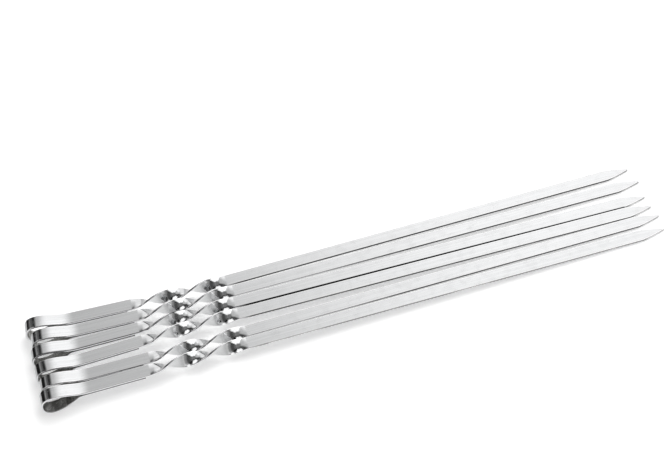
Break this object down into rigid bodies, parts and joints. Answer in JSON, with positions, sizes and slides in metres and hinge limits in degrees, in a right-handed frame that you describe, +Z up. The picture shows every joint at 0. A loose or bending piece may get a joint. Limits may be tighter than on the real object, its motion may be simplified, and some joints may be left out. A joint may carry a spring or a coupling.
{
  "type": "flat kebab skewer set",
  "caption": "Flat stainless kebab skewers lying side by side, each a pointed strip blade with a twisted shank and a teardrop loop at the handle's end.",
  "frame": {"origin": "middle of the row's box, on the surface that the skewers lie on", "axes": "+X from the loops towards the tips, +Y from the near skewer towards the far one, +Z up"},
  "size_m": [0.5548, 0.0936, 0.0199],
  "materials": {
    "stainless": "satin stainless strip, brushed lengthwise, bright at the bends"
  },
  "bodies": {
    "skewer_1": {"skewer_1": "stainless"},
    "skewer_2": {"skewer_2": "stainless"},
    "skewer_3": {"skewer_3": "stainless"},
    "skewer_4": {"skewer_4": "stainless"},
    "skewer_5": {"skewer_5": "stainless"},
    "skewer_6": {"skewer_6": "stainless"}
  },
  "joints": [
    {"name": "lift_1", "type": "slide", "parent": "skewer_3", "child": "skewer_1", "axis": [0, 0, 1], "range_m": [0, 0.12]},
    {"name": "lift_2", "type": "slide", "parent": "skewer_3", "child": "skewer_2", "axis": [0, 0, 1], "range_m": [0, 0.12]},
    {"name": "lift_4", "type": "slide", "parent": "skewer_3", "child": "skewer_4", "axis": [0, 0, 1], "range_m": [0, 0.12]},
    {"name": "lift_5", "type": "slide", "parent": "skewer_3", "child": "skewer_5", "axis": [0, 0, 1], "range_m": [0, 0.12]},
    {"name": "lift_6", "type": "slide", "parent": "skewer_3", "child": "skewer_6", "axis": [0, 0, 1], "range_m": [0, 0.12]}
  ]
}
